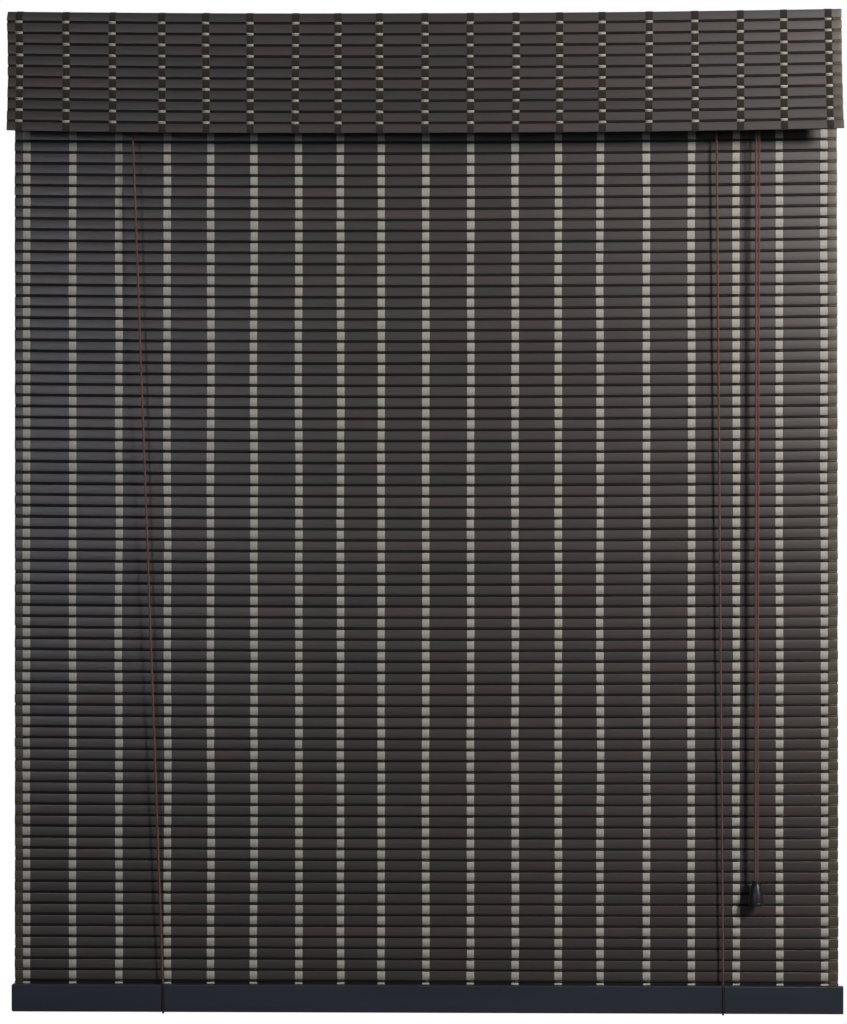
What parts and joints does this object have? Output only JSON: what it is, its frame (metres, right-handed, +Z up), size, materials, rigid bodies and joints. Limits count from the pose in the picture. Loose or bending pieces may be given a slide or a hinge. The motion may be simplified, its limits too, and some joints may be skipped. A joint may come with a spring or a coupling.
{
  "type": "bamboo roll up blind",
  "caption": "Roll-up blind of dark bamboo slats woven with yarn tapes, with a folded valance, painted bottom bar, lift cords, cord lock and bell tassel.",
  "frame": {"origin": "midway between the headrail's two wall screw holes, on the headrail's back face", "axes": "+Z up, -Y towards the room, +X to the right seen from the room"},
  "size_m": [0.993, 0.049, 1.1917],
  "materials": {
    "slat_wood": "dark stained bamboo, satin",
    "headrail_wood": "dark stained softwood",
    "yarn_light": "grey-beige cotton yarn tape",
    "yarn_dark": "dark olive-brown cotton yarn tape",
    "zinc_steel": "zinc plated",
    "pin_steel": "plain steel",
    "white_nylon": "moulded nylon",
    "cord": "braided reddish-brown cord",
    "tassel_plastic": "gloss black",
    "rail_paint": "satin slate-navy paint on wood"
  },
  "bodies": {
    "headrail_assembly": {"headrail": "headrail_wood", "valance_slats": "slat_wood", "upper_slats": "slat_wood", "warp_light": "yarn_light", "warp_dark": "yarn_dark", "staples": "zinc_steel", "hardware_screws": "zinc_steel", "pulley_housings": "zinc_steel", "axle_pins": "pin_steel", "cord_lock_body": "zinc_steel", "lift_cord_left": "cord", "lift_cord_right": "cord", "pull_cords": "cord"},
    "pulley_left": {"pulley_wheel_left": "white_nylon"},
    "pulley_right": {"pulley_wheel_right": "white_nylon"},
    "lock_wheel": {"cord_lock_wheel": "white_nylon"},
    "lock_cam": {"cord_lock_cam": "pin_steel"},
    "tassel_pull": {"tassel": "tassel_plastic", "cord_knot": "cord"},
    "fabric_01": {"slats_01": "slat_wood"},
    "fabric_02": {"slats_02": "slat_wood"},
    "fabric_03": {"slats_03": "slat_wood"},
    "fabric_04": {"slats_04": "slat_wood"},
    "fabric_05": {"slats_05": "slat_wood"},
    "fabric_06": {"slats_06": "slat_wood"},
    "fabric_07": {"slats_07": "slat_wood"},
    "fabric_08": {"slats_08": "slat_wood"},
    "fabric_09": {"slats_09": "slat_wood"},
    "fabric_10": {"slats_10": "slat_wood"},
    "fabric_11": {"slats_11": "slat_wood"},
    "fabric_12": {"slats_12": "slat_wood"},
    "fabric_13": {"slats_13": "slat_wood"},
    "fabric_14": {"slats_14": "slat_wood"},
    "fabric_15": {"slats_15": "slat_wood"},
    "fabric_16": {"slats_16": "slat_wood"},
    "fabric_17": {"slats_17": "slat_wood"},
    "fabric_18": {"slats_18": "slat_wood"},
    "fabric_19": {"slats_19": "slat_wood"},
    "fabric_20": {"slats_20": "slat_wood"},
    "fabric_21": {"slats_21": "slat_wood"},
    "fabric_22": {"slats_22": "slat_wood"},
    "fabric_23": {"slats_23": "slat_wood"},
    "fabric_24": {"slats_24": "slat_wood"},
    "fabric_25": {"slats_25": "slat_wood"},
    "fabric_26": {"slats_26": "slat_wood"},
    "fabric_27": {"slats_27": "slat_wood"},
    "fabric_28": {"slats_28": "slat_wood"},
    "fabric_29": {"slats_29": "slat_wood"},
    "fabric_30": {"slats_30": "slat_wood"},
    "fabric_31": {"slats_31": "slat_wood"},
    "fabric_32": {"slats_32": "slat_wood"},
    "fabric_33": {"slats_33": "slat_wood"},
    "fabric_34": {"slats_34": "slat_wood"},
    "fabric_35": {"slats_35": "slat_wood"},
    "hem": {"hem_slats": "slat_wood", "bottom_bar": "rail_paint", "bottom_batten": "rail_paint", "rail_screws": "zinc_steel"}
  },
  "joints": [
    {"name": "roll_up", "type": "hinge", "parent": "headrail_assembly", "child": "fabric_01", "pos_m": [0, 0.00205, -0.20534], "axis": [-1, 0, 0], "range_deg": [0, 30.24], "deforming": ["warp_light", "warp_dark", "lift_cord_left", "lift_cord_right"]},
    {"name": "roll_02", "type": "hinge", "parent": "fabric_01", "child": "fabric_02", "pos_m": [0, 0.00205, -0.23184], "axis": [-1, 0, 0], "range_deg": [0, 30.59]},
    {"name": "roll_03", "type": "hinge", "parent": "fabric_02", "child": "fabric_03", "pos_m": [0, 0.00205, -0.25834], "axis": [-1, 0, 0], "range_deg": [0, 30.96]},
    {"name": "roll_04", "type": "hinge", "parent": "fabric_03", "child": "fabric_04", "pos_m": [0, 0.00205, -0.28483], "axis": [-1, 0, 0], "range_deg": [0, 31.34]},
    {"name": "roll_05", "type": "hinge", "parent": "fabric_04", "child": "fabric_05", "pos_m": [0, 0.00205, -0.31133], "axis": [-1, 0, 0], "range_deg": [0, 31.74]},
    {"name": "roll_06", "type": "hinge", "parent": "fabric_05", "child": "fabric_06", "pos_m": [0, 0.00205, -0.33782], "axis": [-1, 0, 0], "range_deg": [0, 32.15]},
    {"name": "roll_07", "type": "hinge", "parent": "fabric_06", "child": "fabric_07", "pos_m": [0, 0.00205, -0.36432], "axis": [-1, 0, 0], "range_deg": [0, 32.58]},
    {"name": "roll_08", "type": "hinge", "parent": "fabric_07", "child": "fabric_08", "pos_m": [0, 0.00205, -0.39082], "axis": [-1, 0, 0], "range_deg": [0, 33.02]},
    {"name": "roll_09", "type": "hinge", "parent": "fabric_08", "child": "fabric_09", "pos_m": [0, 0.00205, -0.41731], "axis": [-1, 0, 0], "range_deg": [0, 33.49]},
    {"name": "roll_10", "type": "hinge", "parent": "fabric_09", "child": "fabric_10", "pos_m": [0, 0.00205, -0.44381], "axis": [-1, 0, 0], "range_deg": [0, 33.97]},
    {"name": "roll_11", "type": "hinge", "parent": "fabric_10", "child": "fabric_11", "pos_m": [0, 0.00205, -0.4703], "axis": [-1, 0, 0], "range_deg": [0, 34.48]},
    {"name": "roll_12", "type": "hinge", "parent": "fabric_11", "child": "fabric_12", "pos_m": [0, 0.00205, -0.4968], "axis": [-1, 0, 0], "range_deg": [0, 35.01]},
    {"name": "roll_13", "type": "hinge", "parent": "fabric_12", "child": "fabric_13", "pos_m": [0, 0.00205, -0.5233], "axis": [-1, 0, 0], "range_deg": [0, 35.56]},
    {"name": "roll_14", "type": "hinge", "parent": "fabric_13", "child": "fabric_14", "pos_m": [0, 0.00205, -0.54979], "axis": [-1, 0, 0], "range_deg": [0, 36.14]},
    {"name": "roll_15", "type": "hinge", "parent": "fabric_14", "child": "fabric_15", "pos_m": [0, 0.00205, -0.57629], "axis": [-1, 0, 0], "range_deg": [0, 36.75]},
    {"name": "roll_16", "type": "hinge", "parent": "fabric_15", "child": "fabric_16", "pos_m": [0, 0.00205, -0.60278], "axis": [-1, 0, 0], "range_deg": [0, 37.4]},
    {"name": "roll_17", "type": "hinge", "parent": "fabric_16", "child": "fabric_17", "pos_m": [0, 0.00205, -0.62928], "axis": [-1, 0, 0], "range_deg": [0, 38.08]},
    {"name": "roll_18", "type": "hinge", "parent": "fabric_17", "child": "fabric_18", "pos_m": [0, 0.00205, -0.65578], "axis": [-1, 0, 0], "range_deg": [0, 38.79]},
    {"name": "roll_19", "type": "hinge", "parent": "fabric_18", "child": "fabric_19", "pos_m": [0, 0.00205, -0.68227], "axis": [-1, 0, 0], "range_deg": [0, 39.55]},
    {"name": "roll_20", "type": "hinge", "parent": "fabric_19", "child": "fabric_20", "pos_m": [0, 0.00205, -0.70877], "axis": [-1, 0, 0], "range_deg": [0, 40.36]},
    {"name": "roll_21", "type": "hinge", "parent": "fabric_20", "child": "fabric_21", "pos_m": [0, 0.00205, -0.73526], "axis": [-1, 0, 0], "range_deg": [0, 41.21]},
    {"name": "roll_22", "type": "hinge", "parent": "fabric_21", "child": "fabric_22", "pos_m": [0, 0.00205, -0.76176], "axis": [-1, 0, 0], "range_deg": [0, 42.13]},
    {"name": "roll_23", "type": "hinge", "parent": "fabric_22", "child": "fabric_23", "pos_m": [0, 0.00205, -0.78826], "axis": [-1, 0, 0], "range_deg": [0, 43.1]},
    {"name": "roll_24", "type": "hinge", "parent": "fabric_23", "child": "fabric_24", "pos_m": [0, 0.00205, -0.81475], "axis": [-1, 0, 0], "range_deg": [0, 44.15]},
    {"name": "roll_25", "type": "hinge", "parent": "fabric_24", "child": "fabric_25", "pos_m": [0, 0.00205, -0.84125], "axis": [-1, 0, 0], "range_deg": [0, 45.28]},
    {"name": "roll_26", "type": "hinge", "parent": "fabric_25", "child": "fabric_26", "pos_m": [0, 0.00205, -0.86774], "axis": [-1, 0, 0], "range_deg": [0, 46.5]},
    {"name": "roll_27", "type": "hinge", "parent": "fabric_26", "child": "fabric_27", "pos_m": [0, 0.00205, -0.89424], "axis": [-1, 0, 0], "range_deg": [0, 47.82]},
    {"name": "roll_28", "type": "hinge", "parent": "fabric_27", "child": "fabric_28", "pos_m": [0, 0.00205, -0.92074], "axis": [-1, 0, 0], "range_deg": [0, 49.27]},
    {"name": "roll_29", "type": "hinge", "parent": "fabric_28", "child": "fabric_29", "pos_m": [0, 0.00205, -0.94723], "axis": [-1, 0, 0], "range_deg": [0, 50.85]},
    {"name": "roll_30", "type": "hinge", "parent": "fabric_29", "child": "fabric_30", "pos_m": [0, 0.00205, -0.97373], "axis": [-1, 0, 0], "range_deg": [0, 52.59]},
    {"name": "roll_31", "type": "hinge", "parent": "fabric_30", "child": "fabric_31", "pos_m": [0, 0.00205, -1.00022], "axis": [-1, 0, 0], "range_deg": [0, 54.53]},
    {"name": "roll_32", "type": "hinge", "parent": "fabric_31", "child": "fabric_32", "pos_m": [0, 0.00205, -1.02672], "axis": [-1, 0, 0], "range_deg": [0, 56.7]},
    {"name": "roll_33", "type": "hinge", "parent": "fabric_32", "child": "fabric_33", "pos_m": [0, 0.00205, -1.05322], "axis": [-1, 0, 0], "range_deg": [0, 59.16]},
    {"name": "roll_34", "type": "hinge", "parent": "fabric_33", "child": "fabric_34", "pos_m": [0, 0.00205, -1.07971], "axis": [-1, 0, 0], "range_deg": [0, 61.96]},
    {"name": "roll_35", "type": "hinge", "parent": "fabric_34", "child": "fabric_35", "pos_m": [0, 0.00205, -1.10621], "axis": [-1, 0, 0], "range_deg": [0, 65.2]},
    {"name": "roll_hem", "type": "hinge", "parent": "fabric_35", "child": "hem", "pos_m": [0, 0.00205, -1.1327], "axis": [-1, 0, 0], "range_deg": [0, 98]},
    {"name": "cord_pull", "type": "slide", "parent": "headrail_assembly", "child": "tassel_pull", "axis": [0, 0, -1], "range_m": [0, 1.76], "deforming": ["pull_cords"]},
    {"name": "pulley_left_spin", "type": "hinge", "parent": "headrail_assembly", "child": "pulley_left", "pos_m": [-0.3456, -0.017, -0.0225], "axis": [0, 1, 0], "range_deg": [0, 336140]},
    {"name": "pulley_right_spin", "type": "hinge", "parent": "headrail_assembly", "child": "pulley_right", "pos_m": [0.352, -0.009, -0.0225], "axis": [0, 1, 0], "range_deg": [0, 336140]},
    {"name": "lock_wheel_spin", "type": "hinge", "parent": "headrail_assembly", "child": "lock_wheel", "pos_m": [0.389, -0.013, -0.0225], "axis": [0, 1, 0], "range_deg": [0, 336140]},
    {"name": "lock_cam_swing", "type": "hinge", "parent": "headrail_assembly", "child": "lock_cam", "pos_m": [0.405, -0.013, -0.025], "axis": [0, 1, 0], "range_deg": [0, 35]}
  ],
  "couplings": [
    {"joint": "roll_02", "follows": "roll_up", "ratio": 1.0117},
    {"joint": "roll_03", "follows": "roll_up", "ratio": 1.0239},
    {"joint": "roll_04", "follows": "roll_up", "ratio": 1.0365},
    {"joint": "roll_05", "follows": "roll_up", "ratio": 1.0496},
    {"joint": "roll_06", "follows": "roll_up", "ratio": 1.0632},
    {"joint": "roll_07", "follows": "roll_up", "ratio": 1.0774},
    {"joint": "roll_08", "follows": "roll_up", "ratio": 1.0921},
    {"joint": "roll_09", "follows": "roll_up", "ratio": 1.1075},
    {"joint": "roll_10", "follows": "roll_up", "ratio": 1.1235},
    {"joint": "roll_11", "follows": "roll_up", "ratio": 1.1402},
    {"joint": "roll_12", "follows": "roll_up", "ratio": 1.1577},
    {"joint": "roll_13", "follows": "roll_up", "ratio": 1.1761},
    {"joint": "roll_14", "follows": "roll_up", "ratio": 1.1953},
    {"joint": "roll_15", "follows": "roll_up", "ratio": 1.2155},
    {"joint": "roll_16", "follows": "roll_up", "ratio": 1.2368},
    {"joint": "roll_17", "follows": "roll_up", "ratio": 1.2593},
    {"joint": "roll_18", "follows": "roll_up", "ratio": 1.283},
    {"joint": "roll_19", "follows": "roll_up", "ratio": 1.308},
    {"joint": "roll_20", "follows": "roll_up", "ratio": 1.3347},
    {"joint": "roll_21", "follows": "roll_up", "ratio": 1.363},
    {"joint": "roll_22", "follows": "roll_up", "ratio": 1.3932},
    {"joint": "roll_23", "follows": "roll_up", "ratio": 1.4255},
    {"joint": "roll_24", "follows": "roll_up", "ratio": 1.4602},
    {"joint": "roll_25", "follows": "roll_up", "ratio": 1.4975},
    {"joint": "roll_26", "follows": "roll_up", "ratio": 1.5378},
    {"joint": "roll_27", "follows": "roll_up", "ratio": 1.5816},
    {"joint": "roll_28", "follows": "roll_up", "ratio": 1.6293},
    {"joint": "roll_29", "follows": "roll_up", "ratio": 1.6817},
    {"joint": "roll_30", "follows": "roll_up", "ratio": 1.7394},
    {"joint": "roll_31", "follows": "roll_up", "ratio": 1.8035},
    {"joint": "roll_32", "follows": "roll_up", "ratio": 1.8753},
    {"joint": "roll_33", "follows": "roll_up", "ratio": 1.9564},
    {"joint": "roll_34", "follows": "roll_up", "ratio": 2.049},
    {"joint": "roll_35", "follows": "roll_up", "ratio": 2.1562},
    {"joint": "roll_hem", "follows": "roll_up", "ratio": 3.2411},
    {"joint": "cord_pull", "follows": "roll_up", "m_per_rad": 3.335},
    {"joint": "pulley_left_spin", "follows": "roll_up", "ratio": 555.84},
    {"joint": "pulley_right_spin", "follows": "roll_up", "ratio": 555.84},
    {"joint": "lock_wheel_spin", "follows": "roll_up", "ratio": 555.84}
  ]
}
